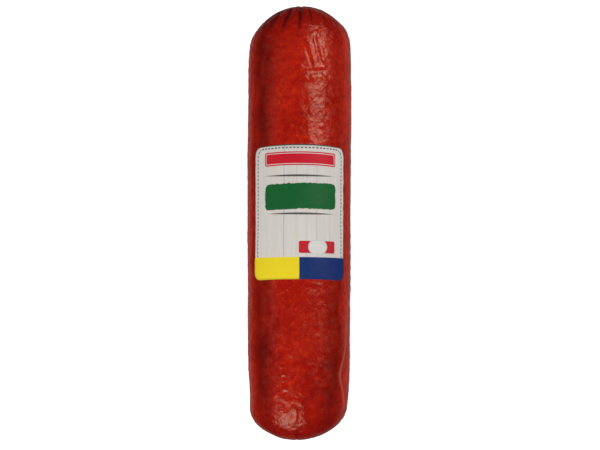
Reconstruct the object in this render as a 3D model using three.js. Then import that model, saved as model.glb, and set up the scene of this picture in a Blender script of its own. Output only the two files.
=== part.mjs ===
// A large cured sausage lying on its side: meat packed in a red casing that is gathered to a clip at each end,
// with a paper label wrapped over its upper side.
// Millimetres, +Z up. The sausage lies along Y, its head end towards +Y, and rests on the plane z = 0.
// The origin is under the middle of the sausage, at the centre of the side that it lies on.
import * as THREE from "three";

const degrees = THREE.MathUtils.degToRad;
const smooth = THREE.MathUtils.smoothstep;
const mix = THREE.MathUtils.lerp;

// Driving dimensions.
const LENGTH = 259.7; // over the two domed ends
const AXIS_HEIGHT = 29.6; // from the surface that it lies on up to the sausage's axis
const HEIGHT_SHARE = 0.985; // height of the cross-section over its width, before the flat
const BULGE = 0.5; // how much fatter the middle is than a straight taper between the two ends
const NECK_RADIUS = 2.6; // casing squeezed together in a clip
const NECK_LENGTH = 5.4;
const TAIL_LENGTH = 8.5;
const TAIL_HALF_WIDTH = 6.5;
const TAIL_HALF_THICKNESS = 1.2;
const TAIL_PITCH = degrees(98); // angle below the horizontal that a tail's cut end points at

// The two domed ends, which bend down to their necks.
// radius: half width where the dome begins
// dome: length of the centre line from there to the neck
// corner, point: exponents of the roundness of the shoulder and of the middle of the dome
// taper: share of the radius lost along the dome
// bend, late: the neck's angle below the horizontal, and how late the centre line turns to it
// side: the neck's place along X
// swell, early, lift: how far the underside stands out, how near the dome's beginning, and its slope
const HEAD = {
  sign: 1, radius: 30.92, dome: 34.93, corner: 8.16, point: 1.087, taper: 0.051,
  bend: degrees(60), late: 3.88, side: 1.4, swell: 6.5, early: 2.6, lift: degrees(22),
};
const FOOT = {
  sign: -1, radius: 30.28, dome: 40.3, corner: 14, point: 0.602, taper: 0.058,
  bend: degrees(52), late: 3.575, side: -1, swell: 7.5, early: 2.6, lift: degrees(20),
};

// Label: half width and centre measured round the sausage from its top, ends along Y, and thickness.
const LABEL_HALF_WIDTH = 31.3;
const LABEL_CENTRE = 0.3;
const LABEL_HEAD_Y = 43.2;
const LABEL_FOOT_Y = -35.7;
const LABEL_HEAD_ARCH = 1; // how far the head edge rises at its middle
const LABEL_FOOT_ARCH = 0.4;
const LABEL_CORNER = 5.5;
const LABEL_GAP = 0.3;
const LABEL_THICKNESS = 0.4;

// Clip: a flat wire closed round the neck until its two legs meet.
const CLIP_GAP = 0.35;
const CLIP_WIRE_THICKNESS = 1.7;
const CLIP_WIRE_WIDTH = 4;
const CLIP_WIRE_BEVEL = 0.5;
const CLIP_TURN = degrees(342);
const CLIP_PLACE = 3; // along the neck, from the dome to the middle of the clip

// Mesh.
const AROUND = 64;
const DOME_RINGS = 14;
const MIDDLE_RINGS = 8;
const NECK_RINGS = 3;
const TAIL_RINGS = 3;
const LABEL_COLUMNS = 20;
const LABEL_ROWS = 16;
const CLIP_STEPS = 28;
const PLEATS = 16;
const PLEAT_DEPTH = 0.16; // share of the radius
const PLEAT_START = 0.84; // share of the dome where the pleats begin

// Radius of a dome at u, from 0 where it begins to 1 at the neck.
function domeRadius(end, u) {
  const open = end.radius * (1 - end.taper * u * u) * Math.pow(1 - Math.pow(u, end.corner), 1 / end.point);
  return Math.hypot(open, NECK_RADIUS * smooth(u, 0.5, 1));
}

// Height of a dome's cross-section over its width, which evens out towards the neck.
function heightShare(u) {
  return mix(HEIGHT_SHARE, 1, u);
}

// Angle below the horizontal that the centre line points at, a along it from the dome's beginning.
function pitch(end, a) {
  if (a <= end.dome) return end.bend * Math.pow(a / end.dome, end.late);
  const turned = smooth(a, end.dome + CLIP_PLACE, end.dome + NECK_LENGTH + TAIL_LENGTH);
  return mix(end.bend, TAIL_PITCH, turned);
}

// Point on an end's centre line, a along it from the dome's beginning and measured from there.
function centreLine(end, a) {
  const point = new THREE.Vector3(end.side * Math.min(1, a / end.dome) ** 2, 0, AXIS_HEIGHT);
  const step = 0.1;
  for (let s = step / 2; s < a; s += step) {
    point.y += end.sign * step * Math.cos(pitch(end, s));
    point.z -= step * Math.sin(pitch(end, s));
  }
  return point;
}

// How far a dome stands out past the place where it begins.
function reach(end) {
  let farthest = 0;
  for (let u = 0; u < 1; u += 0.01) {
    const rise = domeRadius(end, u) * heightShare(u) * Math.sin(pitch(end, u * end.dome));
    farthest = Math.max(farthest, end.sign * centreLine(end, u * end.dome).y + rise);
  }
  return farthest;
}

const MIDDLE_HEAD_Y = LENGTH / 2 - reach(HEAD);
const MIDDLE_FOOT_Y = reach(FOOT) - LENGTH / 2;

// Half width of the cross-section between the two domes.
function middleRadius(y) {
  const share = (y - MIDDLE_FOOT_Y) / (MIDDLE_HEAD_Y - MIDDLE_FOOT_Y);
  return mix(FOOT.radius, HEAD.radius, share) + BULGE * Math.sin(Math.PI * share);
}

// A ring across the casing at a: its centre, which way its top is, its half sizes, how deep it is pleated,
// and how far its underside is moved.
function endRing(end, a, halfWidth, halfHeight, pleat) {
  const angle = pitch(end, a);
  const centre = centreLine(end, a);
  centre.y += end.sign > 0 ? MIDDLE_HEAD_Y : MIDDLE_FOOT_Y;
  const up = new THREE.Vector3(0, end.sign * Math.sin(angle), Math.cos(angle));
  const u = Math.min(1, a / end.dome);
  const under = new THREE.Vector3(0, end.sign * Math.cos(end.lift), Math.sin(end.lift));
  under.multiplyScalar(end.swell * Math.sin(Math.PI * Math.pow(u, end.early)));
  return { centre, up, halfWidth, halfHeight, pleat, under };
}

// Rings of one end, from the dome's beginning out to the cut end of its tail.
function endRings(end) {
  const rings = [];
  for (let i = 1; i <= DOME_RINGS; i++) {
    const u = 1 - Math.pow(1 - i / DOME_RINGS, 1.7);
    const radius = domeRadius(end, u);
    const pleat = PLEAT_DEPTH * smooth(u, PLEAT_START, 1);
    rings.push(endRing(end, u * end.dome, radius, radius * heightShare(u), pleat));
  }
  for (let i = 1; i <= NECK_RINGS; i++) {
    const a = end.dome + (NECK_LENGTH * i) / NECK_RINGS;
    rings.push(endRing(end, a, NECK_RADIUS, NECK_RADIUS, 0));
  }
  for (let i = 1; i <= TAIL_RINGS; i++) {
    const share = i / TAIL_RINGS;
    const a = end.dome + NECK_LENGTH + TAIL_LENGTH * share;
    const width = mix(NECK_RADIUS, TAIL_HALF_WIDTH, smooth(share, 0, 1));
    const thickness = mix(NECK_RADIUS, TAIL_HALF_THICKNESS, smooth(share, 0, 1));
    rings.push(endRing(end, a, width, thickness, PLEAT_DEPTH));
  }
  return rings;
}

function middleRings() {
  const rings = [];
  for (let i = 0; i <= MIDDLE_RINGS; i++) {
    const y = mix(MIDDLE_FOOT_Y, MIDDLE_HEAD_Y, i / MIDDLE_RINGS);
    const radius = middleRadius(y);
    const centre = new THREE.Vector3(0, y, AXIS_HEIGHT);
    const up = new THREE.Vector3(0, 0, 1);
    const under = new THREE.Vector3();
    rings.push({ centre, up, halfWidth: radius, halfHeight: radius * HEIGHT_SHARE, pleat: 0, under });
  }
  return rings;
}

// The filled casing with its necks and tails: a lathe of unit radius whose rings are then moved to their places.
function fillingAndCasing() {
  const rings = [...endRings(FOOT).reverse(), ...middleRings(), ...endRings(HEAD)];
  const last = rings.length - 1;
  const profile = rings.map((ring, i) => new THREE.Vector2(1, i));
  profile.unshift(new THREE.Vector2(0, 0));
  profile.push(new THREE.Vector2(0, last));
  const geometry = new THREE.LatheGeometry(profile, AROUND);
  const place = geometry.attributes.position;
  const vertex = new THREE.Vector3();
  for (let i = 0; i < place.count; i++) {
    vertex.fromBufferAttribute(place, i);
    const ring = rings[Math.round(vertex.y)];
    const angle = Math.atan2(vertex.x, vertex.z);
    const fold = 1 - ring.pleat * (0.5 + 0.5 * Math.cos(PLEATS * angle));
    const across = vertex.x * ring.halfWidth * fold;
    const above = vertex.z * ring.halfHeight * fold;
    const below = Math.min(0, vertex.z) ** 2;
    vertex.copy(ring.centre).addScaledVector(ring.up, above).addScaledVector(ring.under, below);
    vertex.x += across;
    vertex.z = Math.max(vertex.z, 0);
    place.setXYZ(i, vertex.x, vertex.y, vertex.z);
  }
  geometry.computeVertexNormals();
  return geometry;
}

// Point at height gap over the sausage's upper side, across from its top round the casing.
function overBody(across, y, gap) {
  const width = middleRadius(y);
  const height = width * HEIGHT_SHARE;
  const angle = across / width;
  const normal = new THREE.Vector3(Math.sin(angle) / width, 0, Math.cos(angle) / height).normalize();
  const point = new THREE.Vector3(width * Math.sin(angle), y, AXIS_HEIGHT + height * Math.cos(angle));
  return point.addScaledVector(normal, gap);
}

// The label's half width at a place along it, which its round corners narrow.
function labelHalfWidth(fromEdge) {
  const into = Math.max(0, LABEL_CORNER - fromEdge);
  return LABEL_HALF_WIDTH - LABEL_CORNER + Math.sqrt(LABEL_CORNER ** 2 - into ** 2);
}

// A slab that follows the casing: a flat box of unit size whose vertices are moved to their places.
function labelSlab() {
  const geometry = new THREE.BoxGeometry(2, 2, 2, LABEL_COLUMNS, LABEL_ROWS, 1);
  const place = geometry.attributes.position;
  const length = LABEL_HEAD_Y - LABEL_FOOT_Y;
  for (let i = 0; i < place.count; i++) {
    // Rows crowd together at both ends, where the corners are.
    const row = (1 + Math.sin((place.getY(i) * Math.PI) / 2)) / 2;
    const fromEdge = Math.min(row, 1 - row) * length;
    const share = place.getX(i);
    const across = LABEL_CENTRE + share * labelHalfWidth(fromEdge);
    const arch = mix(LABEL_FOOT_ARCH, LABEL_HEAD_ARCH, row) * (1 - share * share);
    const gap = LABEL_GAP + (LABEL_THICKNESS * (1 + place.getZ(i))) / 2;
    const point = overBody(across, LABEL_FOOT_Y + row * length + arch, gap);
    place.setXYZ(i, point.x, point.y, point.z);
  }
  geometry.computeVertexNormals();
  return geometry;
}

// A flat wire bent round the neck, in its own frame: the neck runs along Z and the legs meet at -Y.
function clipWire() {
  const radius = NECK_RADIUS + CLIP_GAP + CLIP_WIRE_THICKNESS / 2;
  class Bend extends THREE.Curve {
    getPoint(t, target = new THREE.Vector3()) {
      const angle = Math.PI / 2 + CLIP_TURN * (t - 0.5);
      return target.set(radius * Math.cos(angle), radius * Math.sin(angle), 0);
    }
  }
  const thick = CLIP_WIRE_THICKNESS / 2;
  const wide = CLIP_WIRE_WIDTH / 2;
  const section = new THREE.Shape();
  section.moveTo(CLIP_WIRE_BEVEL - wide, -thick);
  section.lineTo(wide - CLIP_WIRE_BEVEL, -thick);
  section.lineTo(wide, CLIP_WIRE_BEVEL - thick);
  section.lineTo(wide, thick - CLIP_WIRE_BEVEL);
  section.lineTo(wide - CLIP_WIRE_BEVEL, thick);
  section.lineTo(CLIP_WIRE_BEVEL - wide, thick);
  section.lineTo(-wide, thick - CLIP_WIRE_BEVEL);
  section.lineTo(-wide, CLIP_WIRE_BEVEL - thick);
  section.closePath();
  return new THREE.ExtrudeGeometry(section, { steps: CLIP_STEPS, extrudePath: new Bend() });
}

function clip(end, name, material) {
  const mesh = new THREE.Mesh(clipWire(), material);
  const a = end.dome + CLIP_PLACE;
  const angle = pitch(end, a);
  mesh.name = name;
  mesh.position.copy(centreLine(end, a));
  mesh.position.y += end.sign > 0 ? MIDDLE_HEAD_Y : MIDDLE_FOOT_Y;
  const along = new THREE.Vector3(0, end.sign * Math.cos(angle), -Math.sin(angle));
  mesh.quaternion.setFromUnitVectors(new THREE.Vector3(0, 0, 1), along);
  return mesh;
}

const casingRed = new THREE.MeshStandardMaterial({ color: 0x9a1e14, roughness: 0.35, metalness: 0 });
const labelPaper = new THREE.MeshStandardMaterial({ color: 0xd2cdc6, roughness: 0.6, metalness: 0 });
const clipAluminium = new THREE.MeshStandardMaterial({ color: 0xc9cbcd, roughness: 0.35, metalness: 1 });

const body = new THREE.Mesh(fillingAndCasing(), casingRed);
body.name = "filled_casing";
const label = new THREE.Mesh(labelSlab(), labelPaper);
label.name = "label";

const sausage = new THREE.Group();
sausage.add(
  body,
  label,
  clip(HEAD, "head_clip", clipAluminium),
  clip(FOOT, "foot_clip", clipAluminium),
);

export default sausage;
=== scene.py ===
"""Looks of a large cured sausage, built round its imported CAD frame.

The casing, the label and the two clips are made again here as fine meshes over the CAD's shape,
with the casing's wrinkles, pleats and torn tails. Lengths are in the CAD's millimetres until an
object is made, which turns them into metres.
"""

import math

import bpy
import numpy as np
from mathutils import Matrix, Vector


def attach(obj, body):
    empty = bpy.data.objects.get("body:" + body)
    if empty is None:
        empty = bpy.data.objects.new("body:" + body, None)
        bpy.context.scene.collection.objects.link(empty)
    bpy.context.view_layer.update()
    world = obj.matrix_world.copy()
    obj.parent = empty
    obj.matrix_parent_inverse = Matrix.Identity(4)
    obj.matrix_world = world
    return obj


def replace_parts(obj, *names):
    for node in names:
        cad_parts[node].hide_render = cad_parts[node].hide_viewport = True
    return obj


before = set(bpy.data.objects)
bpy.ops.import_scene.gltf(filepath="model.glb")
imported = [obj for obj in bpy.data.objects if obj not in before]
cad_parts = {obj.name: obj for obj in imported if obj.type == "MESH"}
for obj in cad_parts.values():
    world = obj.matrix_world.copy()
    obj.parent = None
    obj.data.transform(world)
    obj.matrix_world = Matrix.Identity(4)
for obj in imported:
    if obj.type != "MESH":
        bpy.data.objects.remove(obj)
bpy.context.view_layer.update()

MM = 0.001

# Driving dimensions, as in the CAD.
LENGTH = 259.7
AXIS_HEIGHT = 29.6
HEIGHT_SHARE = 0.985
BULGE = 0.5
NECK_RADIUS = 2.6
NECK_LENGTH = 5.4
TAIL_LENGTH = 8.5
TAIL_HALF_WIDTH = 6.5
TAIL_HALF_THICKNESS = 1.2
TAIL_PITCH = math.radians(98)

# Each end. Its dome's radius and length; the powers and the taper of its outline; how far its centre
# line bends down, how late, and how far it goes to the side; the swelling of its underside, how early
# that comes and how steeply it lifts; and its sign along Y.
HEAD = dict(sign=1, radius=30.92, dome=34.93, corner=8.16, point=1.087, taper=0.051, bend=math.radians(60),
            late=3.88, side=1.4, swell=6.5, early=2.6, lift=math.radians(22))
FOOT = dict(sign=-1, radius=30.28, dome=40.3, corner=14.0, point=0.602, taper=0.058, bend=math.radians(52),
            late=3.575, side=-1.0, swell=7.5, early=2.6, lift=math.radians(20))

LABEL_HALF_WIDTH = 31.3  # round the sausage from the label's middle
LABEL_CENTRE = 0.3
LABEL_HEAD_Y = 43.2
LABEL_FOOT_Y = -35.7
LABEL_HEAD_ARCH = 1.0
LABEL_FOOT_ARCH = 0.4
LABEL_CORNER = 5.5

CLIP_GAP = 0.35
CLIP_WIRE_THICKNESS = 1.7
CLIP_WIRE_WIDTH = 4.0
CLIP_TURN = math.radians(342)
CLIP_PLACE = 3.0  # along the centre line from the dome's end

# Mesh fineness of the casing. The columns crowd together on the upper side, where the wrinkles are.
AROUND = 208
DOME_RINGS = 112
MIDDLE_RINGS = 200
NECK_RINGS = 8
TAIL_RINGS = 16
CROWDING = 0.3
RING_CROWDING = 1.45  # power that gathers a dome's rings towards its neck
LINE_STEP = 0.02  # step along a centre line when it is added up
CAP_SHARE = 0.15  # size of the inset ring in a tail's end
CAP_RINGS = 6
CAP_DEPTH = 0.8  # how far in that ring lies, as a share of the length of CAP_RINGS
NECK_CALM = 2.0  # length of neck over which the unevenness dies away
# A tail's end gets the painted shade of a fold and of the neck.
CAP_SKIN = (0.6, 1, 0)  # a tail's end looks like part of a fold

LABEL_COLUMNS = 150
LABEL_ROWS = 190
LABEL_THICKNESS = 0.12
LABEL_LIFT = 0.05  # further out, away from its edge
LABEL_EDGE = 0.8  # distance over which the edge is pressed down
LABEL_SUNK = 0.02  # how far its underside lies in the casing

CLIP_STEPS = 120
CLIP_AROUND = 28
CLIP_SQUARENESS = (0.45, 0.55)  # powers that square the wire's section, through it and across it
CLIP_TIP = 0.18  # turn over which a cut leg rounds off
CLIP_SHOULDER = 1.3  # turn at which the machine pinched the wire


def smooth(x, low, high):
    """Rises from 0 at low to 1 at high, level at both."""
    t = np.clip((x - low) / (high - low), 0, 1)
    return t * t * (3 - 2 * t)


def mix(a, b, t):
    return a + (b - a) * t


# ---------------------------------------------------------------- shape of the body, as in the CAD


def dome_radius(end, u):
    """Half width of an end at a share u of its dome."""
    open_end = end["radius"] * (1 - end["taper"] * u * u) * (1 - u ** end["corner"]) ** (1 / end["point"])
    return np.hypot(open_end, NECK_RADIUS * smooth(u, 0.5, 1))


def height_share(u):
    """Height against width: a little flat in the middle and round at the neck."""
    return mix(HEIGHT_SHARE, 1, u)


def pitch(end, a):
    """Angle at which an end's centre line points down, a along it."""
    inside = end["bend"] * (np.minimum(a, end["dome"]) / end["dome"]) ** end["late"]
    turned = smooth(a, end["dome"] + CLIP_PLACE, end["dome"] + NECK_LENGTH + TAIL_LENGTH)
    return np.where(a <= end["dome"], inside, mix(end["bend"], TAIL_PITCH, turned))


def centre_line(end, a):
    """Points on an end's centre line, a along it from the dome's beginning and measured from there."""
    steps = np.arange(0, end["dome"] + NECK_LENGTH + TAIL_LENGTH + 1, LINE_STEP)
    angle = pitch(end, steps[:-1] + LINE_STEP / 2)
    y = np.concatenate([[0], np.cumsum(np.cos(angle))]) * LINE_STEP * end["sign"]
    z = np.concatenate([[0], np.cumsum(np.sin(angle))]) * LINE_STEP
    x = end["side"] * np.minimum(1, a / end["dome"]) ** 2
    return np.stack([x, np.interp(a, steps, y), AXIS_HEIGHT - np.interp(a, steps, z)], -1)


def reach(end):
    """How far an end's dome stands out along Y from where it begins."""
    u = np.linspace(0, 1, 400)
    a = u * end["dome"]
    rise = dome_radius(end, u) * height_share(u) * np.sin(pitch(end, a))
    return (end["sign"] * centre_line(end, a)[:, 1] + rise).max()


MIDDLE_HEAD_Y = LENGTH / 2 - reach(HEAD)
MIDDLE_FOOT_Y = reach(FOOT) - LENGTH / 2


def dome_begins(end):
    return MIDDLE_HEAD_Y if end["sign"] > 0 else MIDDLE_FOOT_Y


def middle_radius(y):
    """Half width between the domes."""
    share = (y - MIDDLE_FOOT_Y) / (MIDDLE_HEAD_Y - MIDDLE_FOOT_Y)
    return mix(FOOT["radius"], HEAD["radius"], share) + BULGE * np.sin(np.pi * share)


def ring_table(centre, angle, sign, half_width, half_height, under, u):
    """Rings by their centres, upward directions, half sizes, swelling below and share of a dome."""
    up = np.stack([0 * angle, sign * np.sin(angle), np.cos(angle)], -1)
    return dict(centre=centre, up=up, half_width=half_width, half_height=half_height, under=under, u=u)


def end_rings(end):
    """Rings of one end, from the dome's beginning out to the cut end of its tail."""
    u = 1 - (1 - np.arange(1, DOME_RINGS + 1) / DOME_RINGS) ** RING_CROWDING
    neck = end["dome"] + NECK_LENGTH * np.arange(1, NECK_RINGS + 1) / NECK_RINGS
    out = np.arange(1, TAIL_RINGS + 1) / TAIL_RINGS
    tail = end["dome"] + NECK_LENGTH + TAIL_LENGTH * out
    a = np.concatenate([u * end["dome"], neck, tail])
    spread = np.concatenate([0 * u, 0 * neck, smooth(out, 0, 1)])
    share = np.minimum(1, a / end["dome"])
    radius = np.where(a <= end["dome"], dome_radius(end, share), NECK_RADIUS)
    half_width = mix(radius, TAIL_HALF_WIDTH, spread)
    half_height = mix(radius * height_share(share), TAIL_HALF_THICKNESS, spread)
    swell = end["swell"] * np.sin(np.pi * share ** end["early"])
    under = swell[:, None] * np.array([0, end["sign"] * math.cos(end["lift"]), math.sin(end["lift"])])
    centre = centre_line(end, a)
    centre[:, 1] += dome_begins(end)
    past = np.maximum(0, a - end["dome"])
    rings = ring_table(centre, pitch(end, a), end["sign"], half_width, half_height, under, share)
    rings.update(end=np.full(a.shape, float(end["sign"])), past=past, spread=spread)
    return rings


def middle_rings():
    y = np.linspace(MIDDLE_FOOT_Y, MIDDLE_HEAD_Y, MIDDLE_RINGS + 1)
    none = 0 * y
    centre = np.stack([none, y, none + AXIS_HEIGHT], -1)
    radius = middle_radius(y)
    rings = ring_table(centre, none, 1, radius, radius * HEIGHT_SHARE, np.zeros((len(y), 3)), none)
    rings.update(end=none, past=none, spread=none)
    return rings


def all_rings():
    foot, middle, head = end_rings(FOOT), middle_rings(), end_rings(HEAD)
    return {key: np.concatenate([foot[key][::-1], middle[key], head[key]]) for key in foot}


def ring_points(rings, around):
    """Grid of points, ring by column, at angles around from the top."""
    sin, cos = np.sin(around)[None, :, None], np.cos(around)[None, :, None]
    across = np.array([1.0, 0, 0]) * rings["half_width"][:, None, None] * sin
    above = rings["up"][:, None] * rings["half_height"][:, None, None] * cos
    below = rings["under"][:, None] * np.minimum(0, cos) ** 2
    return rings["centre"][:, None] + across + above + below


def grid_normals(points):
    """Unit normals of a grid of points that closes on itself around."""
    along = np.gradient(points, axis=0)
    around = np.roll(points, -1, 1) - np.roll(points, 1, 1)
    normal = np.cross(around, along)
    return normal / np.maximum(np.linalg.norm(normal, axis=-1, keepdims=True), 1e-9)


# ---------------------------------------------------------------- the casing's unevenness


def waves(points, wavelength, count, seed):
    """A smooth random field of unit height: waves in random directions added up."""
    random = np.random.default_rng(seed)
    direction = random.normal(size=(count, 3))
    direction /= np.linalg.norm(direction, axis=1, keepdims=True)
    number = 2 * np.pi / (wavelength * random.uniform(0.75, 1.4, count))
    phase = random.uniform(0, 2 * np.pi, count)
    field = sum(np.sin(points @ (direction[i] * number[i]) + phase[i]) for i in range(count))
    return field / math.sqrt(count / 2)


# The filling's own lumps under the film: height, wavelength, number of waves and seed.
LUMPS = ((0.1, 34, 14, 3), (0.045, 11, 18, 4), (0.048, 4.5, 22, 5), (0.018, 2.9, 24, 6))


def unevenness(points):
    return sum(height * waves(points, *lump) for height, *lump in LUMPS)


# Where the filling stands out or falls back along its two sides: side, place, half length and height.
SWELLS = [
    (-1, 20, 90, 0.25), (-1, -103, 13, -1.1), (1, 66, 28, 0.3), (1, 12, 34, -0.28), (1, -84, 42, 0.55),
    (-1, -121, 6, 0.5), (1, 117, 7, 0.7), (-1, 110, 8, 0.4),
]


def swells(points, around):
    """Height of the broad swellings and hollows along both sides."""
    y = points[..., 1]
    height = 0 * y
    for side, place, half_length, most in SWELLS:
        facing = np.maximum(0, side * np.sin(around)) ** 2
        height = height + most * facing * np.exp(-(((y - place) / half_length) ** 2))
    return height


def wrinkle(x, y, start, finish, height, half_width):
    """A straight ridge or, where its height is negative, groove, that fades out at both its ends."""
    start, finish = np.array(start), np.array(finish)
    line = finish - start
    length = np.linalg.norm(line)
    line = line / length
    along = (x - start[0]) * line[0] + (y - start[1]) * line[1]
    off = (x - start[0]) * -line[1] + (y - start[1]) * line[0]
    fade = smooth(along, -0.12 * length, 0.2 * length) * (1 - smooth(along, 0.8 * length, 1.12 * length))
    return height * fade * np.exp(-((off / half_width) ** 2))


# Wrinkles on the upper side near the head and the foot, seen from above: start, finish, height
# and half width.
WRINKLES = [
    ((3.2, 109.0), (9.6, 90.6), 0.38, 1.5),
    ((7.2, 111.2), (5.8, 101.0), 0.24, 1.1),
    ((8.6, 108.0), (13.0, 91.8), -0.62, 1.2),
    ((10.2, 104.2), (14.8, 91.8), 0.38, 1.4),
    ((10.6, 112.0), (11.2, 107.0), 0.26, 1.0),
    ((16.2, 100.8), (16.6, 96.2), 0.30, 1.0),
    ((1.6, 102.6), (4.6, 94.3), 0.22, 1.2),
    ((3.4, 101.0), (7.4, 90.4), -0.34, 1.1),
    ((4.6, 87.4), (15.4, 87.8), -0.50, 1.3),
    ((5.4, 84.4), (15.0, 84.6), 0.24, 1.5),
    ((0.2, 92.2), (0.6, 88.4), 0.34, 0.9),
    ((-9.0, -113.0), (-1.6, -118.5), 0.22, 0.9),
    ((-1.8, -108.0), (-1.2, -119.0), 0.30, 0.7),
    ((-6.5, -107.0), (-6.0, -112.0), -0.16, 0.8),
    ((-5.6, -79.4), (-3.0, -80.2), 0.46, 0.8),
    ((-12.0, -85.8), (-9.8, -86.8), 0.42, 0.8),
    ((-14.2, -90.4), (-12.6, -89.6), 0.44, 0.8),
    ((-10.6, -91.6), (-8.2, -90.8), 0.46, 0.8),
    ((-10.2, -95.2), (-8.6, -94.4), 0.38, 0.8),
    ((-9.6, -99.2), (-7.4, -100.0), 0.44, 0.8),
]


# Where the wrinkles near the head draw the film tight over the lumps.
TAUT_SHARE = 0.75
TAUT_MIDDLE = (9.5, 100)
TAUT_REACH = (8.5, 13)

# The long low ridge of loose film on the right, near the foot. Angles are in degrees from the top.
LOOSE_ANGLE = 64
LOOSE_BEND = 11.5  # how far it bends up
LOOSE_BEND_Y = -91
LOOSE_BEND_REACH = 11
LOOSE_BEGINS = (-114, -106)
LOOSE_ENDS = (-66, -46)
LOOSE_HALF_WIDTH = 0.9
LOOSE_HEIGHT = 0.5


def upper_side(points):
    return smooth(points[..., 2], AXIS_HEIGHT, AXIS_HEIGHT + 10)


def taut(points):
    """Share of the lumps' height that the tight film near the head takes away."""
    across = (points[..., 0] - TAUT_MIDDLE[0]) / TAUT_REACH[0]
    along = (points[..., 1] - TAUT_MIDDLE[1]) / TAUT_REACH[1]
    return TAUT_SHARE * upper_side(points) * np.exp(-(across**2) - along**4)


def wrinkles(points):
    x, y = points[..., 0], points[..., 1]
    return upper_side(points) * sum(wrinkle(x, y, *facts) for facts in WRINKLES)


def loose_film(points, around):
    """How much there is of the ridge of loose film, from 0 to 1."""
    y = points[..., 1]
    path = LOOSE_ANGLE - LOOSE_BEND * np.exp(-(((y - LOOSE_BEND_Y) / LOOSE_BEND_REACH) ** 2))
    off = (np.degrees(around) - path) * math.radians(FOOT["radius"])
    fade = smooth(y, *LOOSE_BEGINS) * (1 - smooth(y, *LOOSE_ENDS))
    return fade * np.exp(-((off / LOOSE_HALF_WIDTH) ** 2))


# Darker blotches of the filling, seen from above: place, half sizes and strength.
BLOTCHES = [
    (-22.5, 98.0, 4.5, 16.0, 0.5), (-20.0, -76.0, 6.0, 9.0, 0.95), (17.0, -104.0, 4.0, 8.0, 1.0),
    (-23.5, -45.0, 4.5, 16.0, 0.35), (16.0, -86.0, 3.5, 4.5, 0.9), (-13.0, -64.0, 4.0, 9.0, 0.4),
    (11.0, -101.0, 4.5, 6.0, 0.5), (-18.5, -97.0, 5.0, 9.0, 0.6), (-21.0, 70.0, 3.5, 16.0, 0.35),
    (13.5, -62.0, 3.0, 5.0, 0.3), (-2.0, -112.0, 9.0, 3.0, 0.3),
]

# Light flecks of fat: place and radius.
FLECK_SHARE = 0.42
FLECKS = [
    (1.9, -56.8, 1.3), (5.3, -70.9, 1.2), (17.5, -65.4, 0.9), (18.5, -50.4, 0.8), (17.8, -77.4, 0.8),
    (4.8, -57.4, 0.9), (20.5, -59.0, 0.9), (4.2, -79.0, 1.0), (-3.4, 76.0, 1.1), (-10.6, -97.6, 1.0),
    (8.6, -55.6, 0.9), (12.4, -57.2, 0.8), (3.2, -62.8, 1.0), (9.8, -68.4, 0.9), (7.2, -75.6, 1.1),
    (1.2, -76.8, 1.2), (13.2, -73.0, 0.8), (-1.0, -73.2, 0.9), (15.4, -88.0, 0.9), (10.4, -93.6, 1.1),
    (-4.6, -98.0, 1.2), (0.6, -101.6, 1.0), (16.0, 104.6, 1.2), (18.6, 99.0, 1.3), (-12.2, 69.0, 1.0),
]


def blotches(points):
    """The blotches with uneven edges on the upper side, and soft random ones below."""
    x, y = points[..., 0], points[..., 1]
    edges = np.maximum(0.75, 1 + 0.35 * waves(points, 6, 16, 9))
    above = 0 * x
    for at_x, at_y, half_x, half_y, strength in BLOTCHES:
        far = ((x - at_x) / half_x) ** 2 + ((y - at_y) / half_y) ** 2
        above = np.maximum(above, strength * np.exp(-far * edges**2))
    below = 0.35 * np.maximum(0, waves(points * [1, 0.45, 1], 19, 24, 10))
    return np.clip(below, 0, 1), np.clip(above, 0, 1)


def flecks(points):
    x, y = points[..., 0], points[..., 1]
    fleck = 0 * x
    for at_x, at_y, radius in FLECKS:
        far = ((x - at_x) ** 2 + ((y - at_y) * 0.8) ** 2) / radius**2
        fleck = np.maximum(fleck, FLECK_SHARE * np.exp(-far))
    return fleck


def side_shade_and_foot_tone(points):
    """Painted shade in bands along both sides, and a weaker darker band over the foot half."""
    footward = -points[..., 1]
    round_it = np.degrees(np.arctan2(points[..., 0], points[..., 2] - AXIS_HEIGHT))

    def band(angle, half_width):
        """A bell, both in degrees from the top."""
        return np.exp(-(((round_it - angle) / half_width) ** 2))

    left = 0.78 * band(-47, 17)
    right = mix(0.35, 0.6, smooth(footward, -40, 60)) * band(45, 14)
    foot_half = 0.3 * smooth(footward, 30, 60) * band(16, 30)
    uneven = 1 + 0.12 * waves(points * [1, 0.35, 1], 9, 18, 11)
    return np.clip((left + right + foot_half) * uneven, 0, 1)


def tones(points):
    """Per point: how dark a blotch is, how much of a fleck shows, and how much painted side shade and
    foot-half darkening the casing gets.
    """
    upper = smooth(points[..., 2], AXIS_HEIGHT - 4, AXIS_HEIGHT + 6)
    return np.stack([mix(*blotches(points), upper), flecks(points) * upper, side_shade_and_foot_tone(points)], -1)


def make_pleats(count, seed, facing_up):
    """Pleats round an end: angle, where on the dome each begins, depth, half width and lean.

    Those whose angle from the top has a cosine above facing_up are short and shallow.
    """
    random = np.random.default_rng(seed)
    pleats = []
    for i in range(count):
        angle = 2 * np.pi * (i + random.uniform(-0.3, 0.3)) / count
        angle = (angle + np.pi) % (2 * np.pi) - np.pi
        begins = random.uniform(0.72, 0.88)
        depth = random.uniform(0.5, 1.1)
        if math.cos(angle) > facing_up:
            begins = random.uniform(0.84, 0.92)
            depth *= 0.4
        pleats.append((angle, begins, depth, random.uniform(0.5, 0.8), 0))
    return pleats


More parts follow.
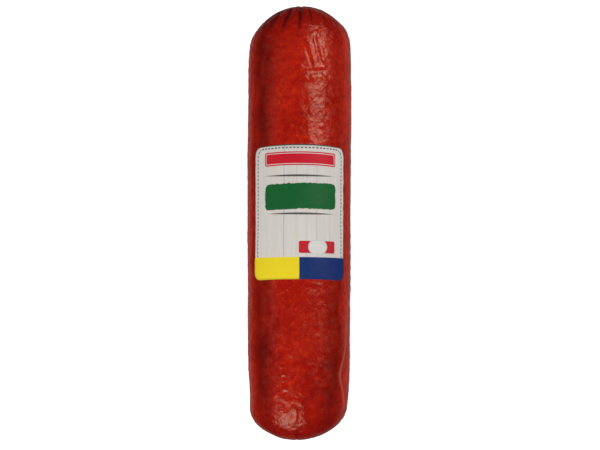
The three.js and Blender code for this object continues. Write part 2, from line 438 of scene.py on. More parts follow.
# The long pleats on the upper side. A lean turns a pleat towards the top on its way to the neck.
HEAD_LEAN = 0.6
HEAD_PLEATS = [
    (math.radians(-22), 0.54, 0.34, 1.7, HEAD_LEAN),
    (math.radians(-2), 0.53, 0.4, 1.3, HEAD_LEAN),
    (math.radians(13), 0.63, 0.16, 0.9, HEAD_LEAN),
    (math.radians(-38), 0.60, 0.3, 1.7, HEAD_LEAN),
    (math.radians(-52), 0.64, 0.24, 1.6, HEAD_LEAN),
    (math.radians(30), 0.68, 0.14, 1.0, HEAD_LEAN),
]
FOOT_PLEATS = [(math.radians(-1), 0.72, 0.22, 0.7, 0)]
PLEATS = {
    1.0: HEAD_PLEATS + make_pleats(17, 12, 0.35),
    -1.0: FOOT_PLEATS + make_pleats(19, 31, 0.2),
}

PLEAT_WIDEST = 0.11  # most half width, as a share of the ring's own
PLEAT_DEEPEST = 0.16  # most depth, as a share of the same
PLEAT_GROWTH = 0.2  # share of the dome over which a pleat grows to its depth
PLEAT_LIP = 0.3  # raised film along both sides, as a share of the depth

# The torn tails' ruffles: number round, wander, number of wanders round, and share of the radius.
TAIL_RUFFLES = ((9, 1.3, 2, 0.42), (23, 2.0, 3, 0.16))


def pleat_field(rings, around):
    """Depth of the pleats over the grid, and how deep in a fold each point is, from 0 to 1."""
    depth = np.zeros((len(rings["u"]), len(around)))
    fold = np.zeros_like(depth)
    girth = np.maximum(rings["half_width"], NECK_RADIUS)[:, None]
    for sign, pleats in PLEATS.items():
        for angle, begins, deep, half_width, lean in pleats:
            path = angle * (1 - lean * smooth(rings["u"], begins, 1))[:, None]
            off = (around[None] - path + np.pi) % (2 * np.pi) - np.pi
            width = np.minimum(half_width, PLEAT_WIDEST * girth)
            away = off * girth / width
            grown = smooth(rings["u"], begins, begins + PLEAT_GROWTH) * (rings["end"] == sign)
            grown = grown[:, None]
            deepest = np.minimum(deep, PLEAT_DEEPEST * girth)
            groove = np.exp(-away * away) - PLEAT_LIP * np.exp(-((np.abs(away) - 2) ** 2))
            depth -= grown * deepest * groove
            fold = np.maximum(fold, np.sqrt(grown) * np.exp(-away * away * 1.6))
    return depth, fold


def tail_folds(rings, around):
    """Share of the radius that the ruffles leave of the tails."""
    taken = 0
    for count, wander, bends, share in TAIL_RUFFLES:
        taken = taken + share * (0.5 + 0.5 * np.cos(count * around + wander * np.sin(bends * around)))
    return 1 - rings["spread"][:, None] * taken[None]


# ---------------------------------------------------------------- meshes


def add_object(name, data):
    piece = bpy.data.objects.new(name, data)
    bpy.context.collection.objects.link(piece)
    return piece


def mesh_object(name, vertices, faces, material, attributes=None):
    """A smooth-shaded mesh in the frame's metres, with its material and its point attributes."""
    mesh = bpy.data.meshes.new(name)
    mesh.from_pydata((np.asarray(vertices) * MM).tolist(), [], [list(map(int, face)) for face in faces])
    mesh.polygons.foreach_set("use_smooth", [True] * len(mesh.polygons))
    for key, values in (attributes or {}).items():
        layer = mesh.attributes.new(key, "FLOAT_VECTOR", "POINT")
        layer.data.foreach_set("vector", np.asarray(values, dtype=np.float32).ravel())
    mesh.materials.append(material)
    mesh.update()
    piece = add_object(name, mesh)
    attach(piece, "root")
    return piece


def tube_faces(rings, columns):
    """Quads of a grid that closes on itself around."""
    i, j = np.meshgrid(np.arange(rings - 1), np.arange(columns), indexing="ij")
    k = (j + 1) % columns
    here, there = i * columns, (i + 1) * columns
    return np.stack([here + j, here + k, there + k, there + j], -1).reshape(-1, 4)


def casing_faces(count):
    """Quads of the casing's rings, and of the inset ring and its face at both ends."""
    faces = tube_faces(count, AROUND).tolist()
    outer, first, last = (count - 1) * AROUND, count * AROUND, (count + 1) * AROUND
    for j in range(AROUND):
        k = (j + 1) % AROUND
        faces.append([j, first + j, first + k, k])
        faces.append([outer + k, last + k, last + j, outer + j])
    faces.append([first + j for j in range(AROUND)][::-1])
    faces.append([last + j for j in range(AROUND)])
    return faces


def tail_caps(points, centre):
    """The inset ring in each tail's end, a little further in than the cut edge."""
    caps = []
    for ring, sign in ((0, -1), (len(points) - 1, 1)):
        inset = points[ring] * CAP_SHARE + centre[ring] * (1 - CAP_SHARE)
        outward = centre[ring] - centre[ring - sign * CAP_RINGS]
        caps.append(inset - CAP_DEPTH * outward)
    return caps


def casing(material):
    rings = all_rings()
    phase = 2 * np.pi * np.arange(AROUND) / AROUND
    around = phase - CROWDING * np.sin(phase)
    around = (around + np.pi) % (2 * np.pi) - np.pi
    base = ring_points(rings, around)
    pleats, fold = pleat_field(rings, around)
    loose = loose_film(base, around)
    lumps = unevenness(base) * (1 - taut(base))
    height = lumps + swells(base, around) + wrinkles(base) + LOOSE_HEIGHT * loose
    calm = 1 - smooth(rings["past"], 0, NECK_CALM)[:, None]
    height = height * calm + pleats
    points = base + grid_normals(base) * height[..., None]
    middle = rings["centre"][:, None]
    ruffled = middle + (points - middle) * tail_folds(rings, around)[..., None]
    points = np.where(rings["spread"][:, None, None] > 0, ruffled, points)
    points[..., 2] = np.maximum(points[..., 2], 0)
    vertices = np.concatenate([points.reshape(-1, 3), *tail_caps(points, rings["centre"])])
    faces = casing_faces(len(points))
    # How deep in a fold, how near an end's neck, and how much of the loose ridge of film: masks for
    # painted shade and a painted highlight.
    near = np.broadcast_to(rings["u"][:, None], fold.shape)
    skin = np.stack([fold, near, loose], -1).reshape(-1, 3)
    skin = np.concatenate([skin, np.tile(CAP_SKIN, (2 * AROUND, 1))])
    attributes = {"skin": skin, "tone": tones(vertices)}
    return mesh_object("casing", vertices, faces, material, attributes)


def label_half_width(from_edge):
    """Half width of the label at a distance in from its head or foot edge, with its round corners."""
    into = np.maximum(0, LABEL_CORNER - from_edge)
    return LABEL_HALF_WIDTH - LABEL_CORNER + np.sqrt(LABEL_CORNER**2 - into**2)


def inside_label(across, y):
    """Distance in from the label's rounded outline."""
    share = np.clip(across / LABEL_HALF_WIDTH, -1, 1)
    from_head = LABEL_HEAD_Y + LABEL_HEAD_ARCH * (1 - share**2) - y
    from_foot = y - LABEL_FOOT_Y - LABEL_FOOT_ARCH * (1 - share**2)
    from_side = LABEL_HALF_WIDTH - np.abs(across)
    from_end = np.minimum(from_head, from_foot)
    side = np.maximum(LABEL_CORNER - from_side, 0)
    end = np.maximum(LABEL_CORNER - from_end, 0)
    in_corner = (side > 0) & (end > 0)
    return np.where(in_corner, LABEL_CORNER - np.hypot(side, end), np.minimum(from_side, from_end))


def on_casing(across, y, gap):
    """Points gap over the casing with its unevenness, across from its top round it."""
    width = middle_radius(y)
    angle = across / width
    height = width * HEIGHT_SHARE
    point = np.stack([width * np.sin(angle), y, AXIS_HEIGHT + height * np.cos(angle)], -1)
    normal = np.stack([np.sin(angle) / width, 0 * angle, np.cos(angle) / height], -1)
    normal /= np.linalg.norm(normal, axis=-1, keepdims=True)
    return point + normal * (unevenness(point) + swells(point, angle) + gap)[..., None]


def sheet_faces(rows, columns):
    """Quads of a closed sheet: its top, its underside and the rim between them."""
    count = rows * columns
    i, j = np.meshgrid(np.arange(rows - 1), np.arange(columns - 1), indexing="ij")
    corner = (i * columns + j).ravel()
    quads = np.stack([corner, corner + 1, corner + columns + 1, corner + columns], -1)
    faces = np.concatenate([quads, quads[:, ::-1] + count]).tolist()
    foot = list(range(columns))
    right = [k * columns + columns - 1 for k in range(1, rows)]
    head = [(rows - 1) * columns + k for k in range(columns - 2, -1, -1)]
    left = [k * columns for k in range(rows - 2, 0, -1)]
    rim = foot + right + head + left
    for k, first in enumerate(rim):
        second = rim[(k + 1) % len(rim)]
        faces.append([second, first, first + count, second + count])
    return faces


def label_sheet(material):
    """The label: a thin closed sheet stuck to the casing, pressed down a little along its edge."""
    row = (1 + np.sin(np.linspace(-1, 1, LABEL_ROWS) * np.pi / 2)) / 2
    share = np.linspace(-1, 1, LABEL_COLUMNS)
    length = LABEL_HEAD_Y - LABEL_FOOT_Y
    row, share = np.meshgrid(row, share, indexing="ij")
    across = share * label_half_width(np.minimum(row, 1 - row) * length)
    arch = mix(LABEL_FOOT_ARCH, LABEL_HEAD_ARCH, row) * (1 - share**2)
    y = LABEL_FOOT_Y + row * length + arch
    inside = inside_label(across, y)
    edge = np.exp(-inside / LABEL_EDGE)
    top = on_casing(across + LABEL_CENTRE, y, LABEL_THICKNESS + LABEL_LIFT * (1 - edge))
    under = on_casing(across + LABEL_CENTRE, y, 0 * across - LABEL_SUNK)
    points = np.concatenate([top.reshape(-1, 3), under.reshape(-1, 3)])
    faces = sheet_faces(LABEL_ROWS, LABEL_COLUMNS)
    printed = np.stack([across, y, inside], -1).reshape(-1, 3)
    return mesh_object("label_sheet", points, faces, material, {"print": np.tile(printed, (2, 1))})


def squared(wave, power):
    """A sine or cosine filled out towards a square wave."""
    return np.sign(wave) * np.abs(wave) ** power


def clip_ring(end, name, material):
    """A flat aluminium wire closed round the neck, its two cut legs nearly meeting below."""
    a = np.array([end["dome"] + CLIP_PLACE])
    centre = centre_line(end, a)[0]
    centre[1] += dome_begins(end)
    angle = float(pitch(end, a)[0])
    along = np.array([0, end["sign"] * math.cos(angle), -math.sin(angle)])
    up = np.array([0, end["sign"] * math.sin(angle), math.cos(angle)])
    radius = NECK_RADIUS + CLIP_GAP + CLIP_WIRE_THICKNESS / 2
    turn = np.linspace(-0.5, 0.5, CLIP_STEPS) * CLIP_TURN
    # A rounded flat section, a little thinner at both shoulders and bent slightly out of true.
    phase = 2 * np.pi * np.arange(CLIP_AROUND) / CLIP_AROUND
    thick = squared(np.sin(phase), CLIP_SQUARENESS[0]) * CLIP_WIRE_THICKNESS / 2
    wide = squared(np.cos(phase), CLIP_SQUARENESS[1]) * CLIP_WIRE_WIDTH / 2
    tip = np.minimum(CLIP_TURN / 2 - np.abs(turn), CLIP_TIP) / CLIP_TIP
    rounding = np.sqrt(np.maximum(1 - (1 - tip) ** 2 * 0.75, 0))
    pressed = 1 - 0.1 * np.exp(-(((np.abs(turn) - CLIP_SHOULDER) / 0.22) ** 2))
    nudge = 0.06 * np.sin(5 * turn + end["sign"])
    out = radius + nudge[:, None] + thick[None] * (rounding * pressed)[:, None]
    side = wide[None] * rounding[:, None] + 0.12 * np.sin(2 * turn)[:, None]
    across = np.array([1.0, 0, 0]) * (out * np.sin(turn)[:, None])[..., None]
    above = up * (out * np.cos(turn)[:, None])[..., None]
    points = centre + across + above + along * side[..., None]
    faces = tube_faces(CLIP_STEPS, CLIP_AROUND).tolist()
    faces.append(list(range(CLIP_AROUND))[::-1])
    faces.append([(CLIP_STEPS - 1) * CLIP_AROUND + j for j in range(CLIP_AROUND)])
    if end["sign"] > 0:
        faces = [face[::-1] for face in faces]
    return mesh_object(name, points.reshape(-1, 3), faces, material)


# ---------------------------------------------------------------- node helper


class Nodes:
    """Short ways to add the nodes of one material."""

    def __init__(self, name):
        self.material = bpy.data.materials.new(name)
        self.material.use_nodes = True
        self.tree = self.material.node_tree
        self.tree.nodes.clear()
        self.shader = self.add("ShaderNodeBsdfPrincipled")
        output = self.add("ShaderNodeOutputMaterial")
        self.link(self.shader.outputs[0], output.inputs[0])
        self.place = self.add("ShaderNodeTexCoord").outputs["Object"]

    def add(self, kind, **settings):
        node = self.tree.nodes.new(kind)
        for key, value in settings.items():
            setattr(node, key, value)
        return node

    def link(self, source, target):
        self.tree.links.new(source, target)

    def fill(self, target, value):
        """Links an output to a socket, or sets the socket to a plain value."""
        if hasattr(value, "is_output"):
            self.link(value, target)
        else:
            target.default_value = value

    def math(self, operation, *values):
        node = self.add("ShaderNodeMath", operation=operation)
        for target, value in zip(node.inputs, values):
            self.fill(target, value)
        return node.outputs[0]

    def band(self, value, low, high, at_low=0.0, at_high=1.0):
        """Smooth step of value from at_low to at_high."""
        node = self.add("ShaderNodeMapRange", interpolation_type="SMOOTHSTEP")
        for target, item in zip(node.inputs, (value, low, high, at_low, at_high)):
            self.fill(target, item)
        return node.outputs[0]

    def mix(self, share, first, second):
        """Colour between first and second."""
        node = self.add("ShaderNodeMix", data_type="RGBA")
        self.fill(node.inputs["Factor"], share)
        colours = [socket for socket in node.inputs if socket.type == "RGBA"]
        for target, item in zip(colours, (first, second)):
            self.fill(target, item if hasattr(item, "is_output") else (*item, 1.0))
        return [socket for socket in node.outputs if socket.type == "RGBA"][0]

    def noise(self, scale, detail=2.0, roughness=0.5, distortion=0.0, at=None):
        node = self.add("ShaderNodeTexNoise")
        self.link(at or self.place, node.inputs["Vector"])
        node.inputs["Scale"].default_value = scale
        node.inputs["Detail"].default_value = detail
        node.inputs["Roughness"].default_value = roughness
        node.inputs["Distortion"].default_value = distortion
        return node.outputs["Fac"]

    def stretched(self, x, y, z):
        """The place on the object, scaled along each axis."""
        node = self.add("ShaderNodeVectorMath", operation="MULTIPLY")
        self.link(self.place, node.inputs[0])
        node.inputs[1].default_value = (x, y, z)
        return node.outputs[0]

    def parts(self, vector):
        node = self.add("ShaderNodeSeparateXYZ")
        self.link(vector, node.inputs[0])
        return node.outputs

    def attribute(self, name):
        return self.add("ShaderNodeAttribute", attribute_name=name).outputs["Vector"]

    def bump(self, height, distance, strength=1.0, under=None):
        node = self.add("ShaderNodeBump")
        node.inputs["Distance"].default_value = distance
        self.fill(node.inputs["Strength"], strength)
        self.link(height, node.inputs["Height"])
        if under is not None:
            self.link(under, node.inputs["Normal"])
        return node.outputs[0]

    def set(self, **values):
        """Sets the Principled shader's sockets, with underscores for spaces."""
        for key, value in values.items():
            self.fill(self.shader.inputs[key.replace("_", " ")], value)


def srgb(red, green, blue):
    """Linear colour from 0 to 255 display values."""
    values = (red / 255, green / 255, blue / 255)
    return tuple(v / 12.92 if v <= 0.04045 else ((v + 0.055) / 1.055) ** 2.4 for v in values)


# ---------------------------------------------------------------- materials

MEAT_LIGHT = srgb(180, 31, 17)
MEAT_DARK = srgb(160, 21, 12)
MEAT_ORANGE = srgb(206, 48, 16)
MEAT_DEEP = srgb(136, 10, 6)
MEAT_FAT = srgb(216, 68, 36)
MEAT_MAROON = srgb(84, 6, 8)
# A dark red for painted shade down the sides and near the necks, and for a darker foot half.
SHADE_DARK_RED = srgb(104, 9, 5)
# Painted shade in the folds.
FOLD_SHADE = srgb(58, 8, 24)
# Painted highlight along the loose ridge of film.
LOOSE_RIDGE_HIGHLIGHT = srgb(204, 104, 84)
PAPER = srgb(213, 208, 202)
PAPER_SHADE = srgb(208, 203, 197)
PAPER_WARM = srgb(211, 199, 184)
PLANK_SEAM = srgb(128, 122, 116)
STITCH = srgb(58, 54, 52)
RED_INK = srgb(196, 24, 42)
GREEN_INK = srgb(20, 92, 44)
DARK_INK = srgb(34, 26, 24)
BADGE_RED = srgb(188, 34, 44)
BADGE_PALE = srgb(214, 212, 208)
YELLOW_INK = srgb(232, 208, 34)
BLUE_INK = srgb(18, 45, 104)
# Painted shade along the label's cut edge.
EDGE_SHADE = srgb(40, 42, 38)
ALUMINIUM = srgb(206, 208, 210)
ALUMINIUM_DULL = srgb(150, 150, 152)

# Scales of the casing's noises, per metre.
CLOUDS = 45
GLOSS_PATCHES = 260
MOTTLE = 300
LUMPINESS = 330
SPOTS = 480
FILM_TEXTURE = 1100
GRAIN = 1300

# The print, in millimetres across from the label's middle and along the sausage.
PLANK_SEAMS = ((-9.4, 0.75), (10.2, 0.5), (-2.0, 0.16), (4.0, 0.2), (18.6, 0.22))
STITCH_HALF_WIDTH = 28.1
STITCH_HEAD_Y = 41.2
STITCH_REACH = 60.0  # half the border's length, so that its foot end falls past the sheet
STITCH_CORNER = 4.4
STITCH_STEP = 2.27
STITCH_THICKNESS = 0.34  # to either side of the border's line
RED_BAR_MIDDLE = (0.2, 34.75)
RED_BAR_HALF = (22.6, 4.05)
RED_BAR_CORNER = 1.2
KEYLINE_INSET = 0.95
KEYLINE_THICKNESS = 0.2
GREEN_MIDDLE = (0.6, 12.6)
GREEN_HALF = (22.6, 7.6)
GREEN_CORNER = 3.0
GREEN_SLOPE = 0.022
GREEN_ROUGHNESS = 1.6
TAPERED_LINES = (((-0.4, 25.6), 22.0), ((0.8, 3.2), 20.8))  # middle and half length
TAPERED_THICKNESS = 0.6
BADGE_MIDDLE = (10.9, -16.4)
BADGE_BAND_HALF = (11.4, 3.6)
BADGE_BAND_CORNER = 1.0
BADGE_OVAL_HALF = (5.9, 4.4)
BAND_TOP_Y = -22.35
BAND_SPLIT = -0.2
CUT_EDGE = (0.95, 0.6)  # distances in from the outline between which the dark edge comes up
INK_SOFT = 0.12  # how far an ink's edge fades to either side


def casing_colour(n):
    """Mottled meat under the film, darker where it is blotched, with painted shade down both sides, near
    each neck and in the folds, a darker foot half, and a painted highlight along the loose ridge of film.
    """
    fold, near, loose = n.parts(n.attribute("skin"))
    blotch, fleck, side_shade_foot_tone = n.parts(n.attribute("tone"))
    mottle = n.noise(MOTTLE, 4, 0.65, 0.3)
    spots = n.math("MULTIPLY", n.band(n.noise(SPOTS, 1, 0.5), 0.70, 0.78), 0.6)
    layers = (
        (n.band(mottle, 0.5, 0.72, 0.0, 0.7), MEAT_ORANGE),
        (n.band(mottle, 0.5, 0.3, 0.0, 0.65), MEAT_DEEP),
        (n.band(n.noise(GRAIN, 2, 0.6), 0.52, 0.74, 0.0, 0.3), MEAT_ORANGE),
        (n.math("MAXIMUM", spots, fleck), MEAT_FAT),
        # Painted shade down both sides, and a darker foot half.
        (side_shade_foot_tone, SHADE_DARK_RED),
        (n.math("MULTIPLY", blotch, 0.55), MEAT_MAROON),
        # Painted shade over each dome's top near its neck, where the surface turns away from the light.
        (n.math("MULTIPLY", n.band(near, 0.52, 0.8), 0.4), SHADE_DARK_RED),
        # Painted shade in the folds of the pleats.
        (n.math("MULTIPLY", fold, 0.85), FOLD_SHADE),
        # Painted highlight along the loose ridge of film, over its real raised shape.
        (n.math("MULTIPLY", loose, 0.5), LOOSE_RIDGE_HIGHLIGHT),
    )
    colour = n.mix(n.band(n.noise(CLOUDS, 3, 0.55), 0.34, 0.66), MEAT_DARK, MEAT_LIGHT)
    for share, tint in layers:
        colour = n.mix(share, colour, tint)
    return colour


def casing_material():
    n = Nodes("casing_film")
    n.set(Base_Color=casing_colour(n))
    n.set(Roughness=n.band(n.noise(GLOSS_PATCHES, 3, 0.65), 0.42, 0.6, 0.09, 0.26))
    n.set(Specular_IOR_Level=0.5, Specular_Tint=(1.0, 0.8, 0.58, 1.0))
    # The filling's lumps show on the upper side; down the sides the film is drawn tight.
    upper = n.band(n.parts(n.place)[2], 0.03, 0.054, 0.1, 0.55)
    lumps = n.bump(n.noise(LUMPINESS, 3, 0.6), 0.001, upper)
    n.set(Normal=n.bump(n.noise(FILM_TEXTURE, 2, 0.6), 0.00006, 0.3, under=lumps))
    return n.material


def box_distance(n, x, y, middle, half, corner):
    """Distance outside a rounded box on the print, negative inside."""
    across = n.math("SUBTRACT", n.math("ABSOLUTE", n.math("SUBTRACT", x, middle[0])), half[0] - corner)
    along = n.math("SUBTRACT", n.math("ABSOLUTE", n.math("SUBTRACT", y, middle[1])), half[1] - corner)
    past_across = n.math("POWER", n.math("MAXIMUM", across, 0.0), 2.0)
    past_along = n.math("POWER", n.math("MAXIMUM", along, 0.0), 2.0)
    outer = n.math("SQRT", n.math("ADD", past_across, past_along))
    inner = n.math("MINIMUM", n.math("MAXIMUM", across, along), 0.0)
    return n.math("SUBTRACT", n.math("ADD", outer, inner), corner)


def filled(n, distance, soft=INK_SOFT):
    """One inside an outline and nothing outside it."""
    return n.band(distance, soft, -soft)


def stroke(n, distance, half_width, soft=0.1):
    """One along an outline and nothing away from it."""
    return n.band(n.math("ABSOLUTE", distance), half_width + soft, half_width - soft)


def arch(n, x, half_length, height):
    """Height of a parabola that stands on the line from -half_length to half_length."""
    share = n.math("DIVIDE", x, half_length)
    return n.math("MULTIPLY", n.math("SUBTRACT", 1.0, n.math("MULTIPLY", share, share)), height)


def tapered_line(n, x, y, middle, half_length, half_width):
    """A line that is thickest at its middle and runs out to points."""
    shape = arch(n, n.math("SUBTRACT", x, middle[0]), half_length, half_width)
    off = n.math("ABSOLUTE", n.math("SUBTRACT", y, middle[1]))
    return filled(n, n.math("SUBTRACT", off, shape), 0.16)


def planks(n, x):
    """Pale boards: fine streaks along them and a few soft seams."""
    streaks = n.noise(1, 3, 0.6, at=n.stretched(900, 28, 900))
    paper = n.mix(n.band(streaks, 0.36, 0.66), PAPER_SHADE, PAPER)
    warm = n.band(n.noise(1, 2, 0.5, at=n.stretched(260, 12, 260)), 0.52, 0.72, 0.0, 0.35)
    paper = n.mix(warm, paper, PAPER_WARM)
    wander = n.math("MULTIPLY", n.math("SUBTRACT", streaks, 0.5), 0.5)
    for place, strength in PLANK_SEAMS:
        off = n.math("ADD", n.math("SUBTRACT", x, place), wander)
        seam = n.math("MULTIPLY", stroke(n, off, 0.14, 0.16), strength)
        paper = n.mix(seam, paper, PLANK_SEAM)
    return paper


def stitched_border(n, x, y, arched, colour):
    """A dashed line up both sides and over the head of the label."""
    middle = (0, STITCH_HEAD_Y - STITCH_REACH)
    border = box_distance(n, x, arched, middle, (STITCH_HALF_WIDTH, STITCH_REACH), STITCH_CORNER)
    upright = n.math("GREATER_THAN", n.math("ABSOLUTE", x), STITCH_HALF_WIDTH - STITCH_CORNER / 2)
    level = n.math("SUBTRACT", 1.0, upright)
    length = n.math("ADD", n.math("MULTIPLY", upright, y), n.math("MULTIPLY", level, x))
    step = n.math("FRACT", n.math("DIVIDE", length, STITCH_STEP))
    dash = n.band(n.math("ABSOLUTE", n.math("SUBTRACT", step, 0.5)), 0.36, 0.28)
    return n.mix(n.math("MULTIPLY", stroke(n, border, STITCH_THICKNESS, 0.14), dash), colour, STITCH)


def red_bar(n, x, arched, colour):
    """A bar with a pale keyline inside its edge."""
    bar = box_distance(n, x, arched, RED_BAR_MIDDLE, RED_BAR_HALF, RED_BAR_CORNER)
    colour = n.mix(filled(n, bar), colour, RED_INK)
    return n.mix(stroke(n, n.math("ADD", bar, KEYLINE_INSET), KEYLINE_THICKNESS), colour, PAPER)


def green_panel(n, x, y, arched, colour):
    """A panel with brushed edges between two tapered lines."""
    rough = n.math("MULTIPLY", n.math("SUBTRACT", n.noise(420, 3, 0.6), 0.5), GREEN_ROUGHNESS)
    tilted = n.math("SUBTRACT", arched, n.math("MULTIPLY", x, GREEN_SLOPE))
    panel = n.math("ADD", box_distance(n, x, tilted, GREEN_MIDDLE, GREEN_HALF, GREEN_CORNER), rough)
    colour = n.mix(filled(n, panel, 0.15), colour, GREEN_INK)
    for middle, half_length in TAPERED_LINES:
        line = tapered_line(n, x, y, middle, half_length, TAPERED_THICKNESS)
        colour = n.mix(n.math("MULTIPLY", line, 0.9), colour, DARK_INK)
    return colour


def blank_badge(n, x, y, colour):
    """A plain oval on a red band."""
    band = box_distance(n, x, y, BADGE_MIDDLE, BADGE_BAND_HALF, BADGE_BAND_CORNER)
    colour = n.mix(filled(n, band), colour, BADGE_RED)
    oval = box_distance(n, x, y, BADGE_MIDDLE, BADGE_OVAL_HALF, BADGE_OVAL_HALF[1] - 0.05)
    colour = n.mix(filled(n, oval), colour, BADGE_PALE)
    return n.mix(n.math("MULTIPLY", stroke(n, n.math("ADD", oval, 0.35), 0.08), 0.5), colour, STITCH)


def foot_band_and_edge_shade(n, x, y, inside, colour):
    """A two-colour band at the foot, and painted shade along the cut edge round the rest of the sheet."""
    foot = n.band(y, BAND_TOP_Y + INK_SOFT, BAND_TOP_Y - INK_SOFT)
    ink = n.mix(n.band(x, BAND_SPLIT - INK_SOFT, BAND_SPLIT + INK_SOFT), YELLOW_INK, BLUE_INK)
    colour = n.mix(foot, colour, ink)
    weaker = n.math("SUBTRACT", 1.0, n.math("MULTIPLY", foot, 0.75))
    # Painted shade along the cut edge, weaker over the foot band.
    edge = n.math("MULTIPLY", n.band(inside, *CUT_EDGE), weaker)
    return n.mix(n.math("MULTIPLY", edge, 0.95), colour, EDGE_SHADE)


def label_material():
    n = Nodes("label_print")
    x, y, inside = n.parts(n.attribute("print"))
    arched = n.math("SUBTRACT", y, arch(n, x, LABEL_HALF_WIDTH, LABEL_HEAD_ARCH))
    colour = planks(n, x)
    colour = stitched_border(n, x, y, arched, colour)
    colour = red_bar(n, x, arched, colour)
    colour = green_panel(n, x, y, arched, colour)
    colour = blank_badge(n, x, y, colour)
    n.set(Base_Color=foot_band_and_edge_shade(n, x, y, inside, colour))
    n.set(Roughness=n.band(n.noise(700, 2), 0.3, 0.7, 0.46, 0.56))
    n.set(Specular_IOR_Level=0.25)
    n.set(Normal=n.bump(n.noise(1800, 3, 0.6), 0.00004, 0.5))
    return n.material


def clip_material():
    n = Nodes("clip_wire")
    dirt = n.noise(900, 3, 0.6)
    colour = n.mix(n.band(dirt, 0.45, 0.7), ALUMINIUM, ALUMINIUM_DULL)
    n.set(Base_Color=colour, Metallic=1.0)
    n.set(Roughness=n.band(n.noise(1, 3, at=n.stretched(400, 2600, 2600)), 0.3, 0.7, 0.22, 0.46))
    n.set(Normal=n.bump(n.noise(1, 2, at=n.stretched(700, 4200, 4200)), 0.00006, 0.6))
    return n.material


# ---------------------------------------------------------------- stage, lights and camera

CAMERA_DISTANCE = 1070.0
CAMERA_TILT = math.radians(4)  # away from straight down, towards the foot
CAMERA_ROLL = math.radians(0.24)
FRAME_WIDTH = 360.0  # width of the camera's view at the height of AIM
AIM = Vector((0.45, -1.835, 35.0))

# Stage, in metres.
FLOOR_SIZE = 6.0
FLOOR_COLOUR = (0.85, 0.85, 0.85)
FLOOR_GLOW = 0.65
BACKDROP_SIDES = 64
BACKDROP_RADIUS = 5.5
BACKDROP_HEIGHTS = (-0.2, 6.0)

# The world's brightness by degrees above the horizon, and how it is tinted and turned.
WORLD_LEVELS = (
    (-90, 0.24), (-60, 0.2), (-53, 0.11), (-48, 0.34), (-40, 0.3), (-35, 0.05), (25, 0.02), (90, 0.03),
)
WORLD_GREEN = 0.8  # the pale part is warmed by the sausage's own red
WORLD_BLUE = 0.72
WORLD_LEAN = -0.15  # how much more of the pale part shows towards +X

# Panels that show in the gloss: place, degrees of lean, width, height along the sausage, and watts.
SOFTBOXES = {
    "key": ((560, 460, 720), 39, 540, 440, 3.85),
    "key_lower": ((560, 205, 720), 39, 480, 70, 0.3),
    "front": ((-195, -535, 465), -20, 510, 450, 3.5),
}

# Very soft light that doesn't show in the gloss: power, and degrees from straight above towards +X.
BROAD_LIGHTS = {"overhead": (0.1, 0), "left_fill": (1.85, -70), "right_fill": (1.45, 70)}
BROAD_LIGHT_SPREAD = math.radians(50)


def make_camera():
    data = bpy.data.cameras.new("camera")
    camera = add_object("camera", data)
    away = Vector((0, -math.sin(CAMERA_TILT), math.cos(CAMERA_TILT)))
    camera.location = (AIM + away * CAMERA_DISTANCE) * MM
    camera.rotation_euler = (CAMERA_TILT, 0, 0)
    camera.rotation_euler.rotate_axis("Z", CAMERA_ROLL)
    data.sensor_width = 36
    data.lens = data.sensor_width * CAMERA_DISTANCE / FRAME_WIDTH
    data.clip_start = 0.05
    data.clip_end = 50
    bpy.context.scene.camera = camera


def softbox(name, place, lean, width, height, power):
    """A panel that leans to one side only, so that its height runs along the sausage."""
    data = bpy.data.lights.new(name, "AREA")
    data.shape = "RECTANGLE"
    data.size = width * MM
    data.size_y = height * MM
    data.energy = power
    light = add_object(name, data)
    light.location = Vector(place) * MM
    light.rotation_euler = (0, math.radians(lean), 0)


def broad_light(name, power, from_side):
    data = bpy.data.lights.new(name, "SUN")
    data.energy = power
    data.angle = BROAD_LIGHT_SPREAD
    light = add_object(name, data)
    light.rotation_euler = (0, math.radians(from_side), 0)
    light.visible_glossy = False


def stage_material(name, colour, glow):
    n = Nodes(name)
    n.set(Base_Color=(*colour, 1.0), Roughness=0.9, Specular_IOR_Level=0.0)
    n.set(Emission_Color=(1.0, 1.0, 1.0, 1.0), Emission_Strength=glow)
    return n.material


def stage_object(name, vertices, faces, material):
    """A mesh that neither lights the sausage nor shows in its gloss."""
    mesh = bpy.data.meshes.new(name)
    mesh.from_pydata(vertices, [], faces)
    mesh.materials.append(material)
    piece = add_object(name, mesh)
    piece.visible_diffuse = False
    piece.visible_glossy = False
    return piece


def make_floor():
    corners = [(x * FLOOR_SIZE, y * FLOOR_SIZE, 0) for x, y in ((-1, -1), (1, -1), (1, 1), (-1, 1))]
    material = stage_material("pale_floor", FLOOR_COLOUR, FLOOR_GLOW)
    floor = stage_object("floor", corners, [(0, 1, 2, 3)], material)


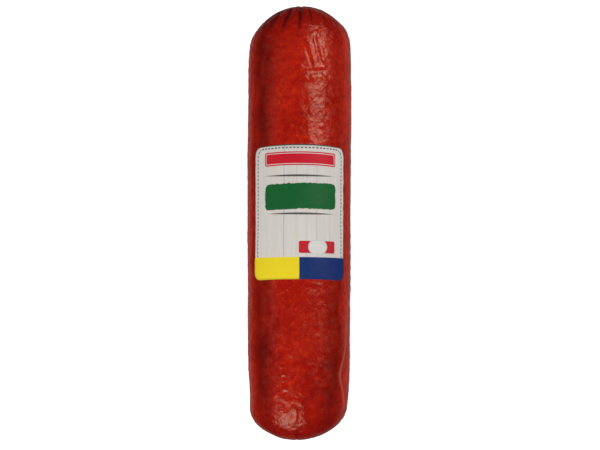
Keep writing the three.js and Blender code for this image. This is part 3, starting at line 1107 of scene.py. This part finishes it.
def make_backdrop():
    """A white cylinder far round the floor, which casts no shadow."""
    count = BACKDROP_SIDES
    vertices = []
    for height in BACKDROP_HEIGHTS:
        for i in range(count):
            angle = 2 * math.pi * i / count
            vertices.append((BACKDROP_RADIUS * math.cos(angle), BACKDROP_RADIUS * math.sin(angle), height))
    faces = [(i, (i + 1) % count, count + (i + 1) % count, count + i) for i in range(count)]
    backdrop = stage_object("backdrop", vertices, faces, stage_material("white_backdrop", (0, 0, 0), 1.0))
    backdrop.visible_shadow = False


def make_world():
    """Dark above and pale below, brightest in a band that the sausage's sides reflect."""
    world = bpy.data.worlds.new("studio")
    bpy.context.scene.world = world
    world.use_nodes = True
    tree = world.node_tree
    background = tree.nodes["Background"]
    direction = tree.nodes.new("ShaderNodeTexCoord").outputs["Generated"]
    upright = tree.nodes.new("ShaderNodeVectorMath")
    upright.operation = "DOT_PRODUCT"
    tree.links.new(direction, upright.inputs[0])
    upright.inputs[1].default_value = (WORLD_LEAN, 0, 1)
    ramp = tree.nodes.new("ShaderNodeValToRGB")
    height = tree.nodes.new("ShaderNodeMapRange")
    tree.links.new(upright.outputs["Value"], height.inputs[0])
    height.inputs[1].default_value = -1.0
    height.inputs[2].default_value = 1.0
    tree.links.new(height.outputs[0], ramp.inputs[0])
    points = ramp.color_ramp.elements
    stops = [((math.sin(math.radians(angle)) + 1) / 2, value) for angle, value in WORLD_LEVELS]
    while len(points) < len(stops):
        points.new(0.5)
    for point, (place, value) in zip(points, stops):
        point.position = place
        point.color = (value, value * WORLD_GREEN, value * WORLD_BLUE, 1)
    tree.links.new(ramp.outputs[0], background.inputs["Color"])
    background.inputs["Strength"].default_value = 1.0


# ---------------------------------------------------------------- the scene

bpy.context.scene.view_settings.view_transform = "Standard"
make_camera()
make_floor()
make_backdrop()
make_world()
for name, facts in SOFTBOXES.items():
    softbox(name, *facts)
for name, facts in BROAD_LIGHTS.items():
    broad_light(name, *facts)

body = casing(casing_material())
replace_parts(body, "filled_casing")
label = label_sheet(label_material())
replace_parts(label, "label")
wire = clip_material()
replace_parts(clip_ring(HEAD, "head_clip_wire", wire), "head_clip")
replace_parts(clip_ring(FOOT, "foot_clip_wire", wire), "foot_clip")
